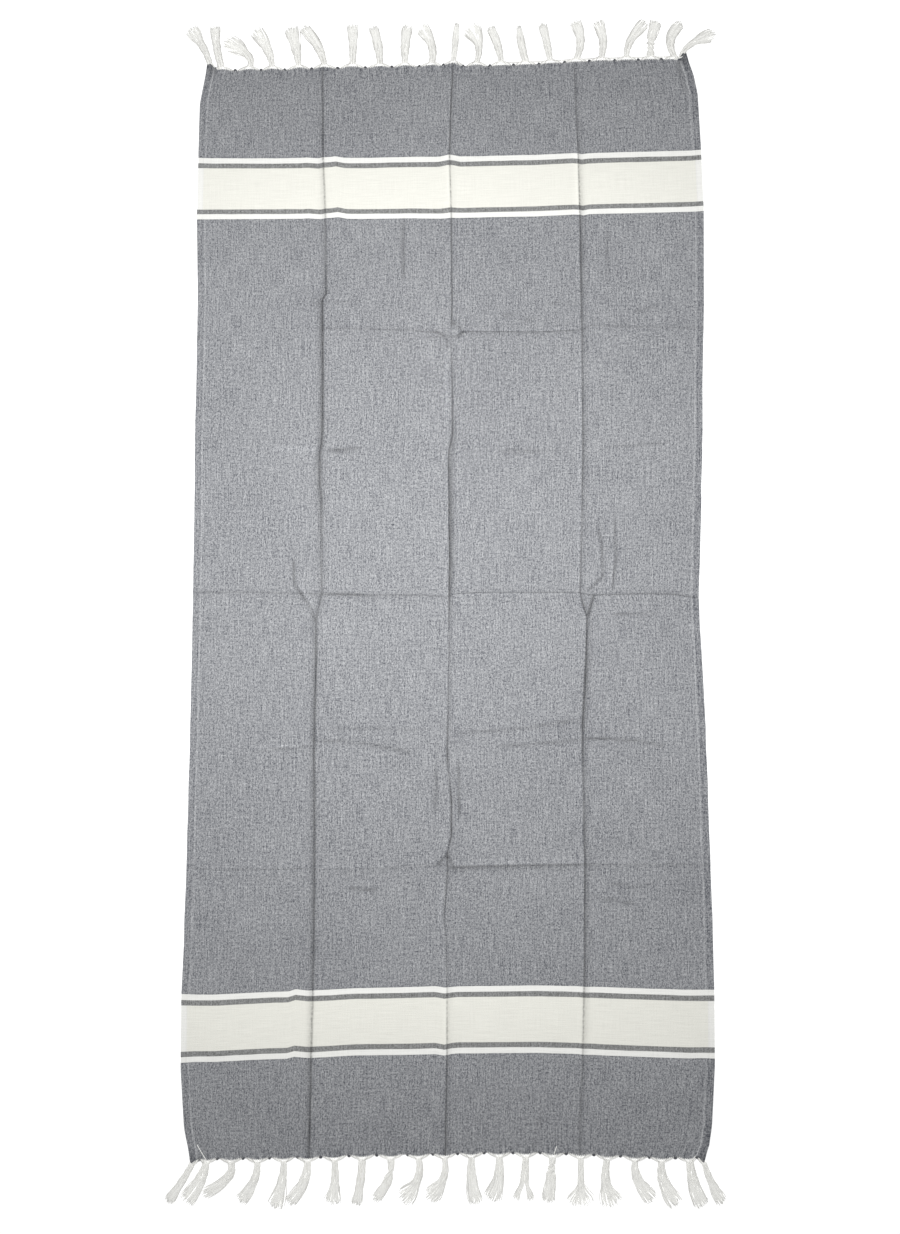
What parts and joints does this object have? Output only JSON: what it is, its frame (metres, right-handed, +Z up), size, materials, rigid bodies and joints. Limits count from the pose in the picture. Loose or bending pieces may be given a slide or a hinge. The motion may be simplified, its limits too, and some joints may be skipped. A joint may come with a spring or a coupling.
{
  "type": "hammam towel",
  "caption": "Flat-woven cotton hammam towel laid out flat, with sharp storage folds across it and a knotted, twisted tassel fringe at both ends.",
  "frame": {"origin": "centre of the towel's box on the surface it lies on, with the fringes counted in", "axes": "+Y along the towel towards the back fringe, +X across it to the right, +Z up off the surface"},
  "size_m": [0.8874, 1.9636, 0.004],
  "materials": {
    "cloth_grey": "flat-woven melange cotton",
    "fringe_cream": "loosely twisted undyed cotton yarn"
  },
  "bodies": {
    "root": {"cloth": "cloth_grey", "fringe_back": "fringe_cream", "fringe_front": "fringe_cream"}
  },
  "joints": []
}
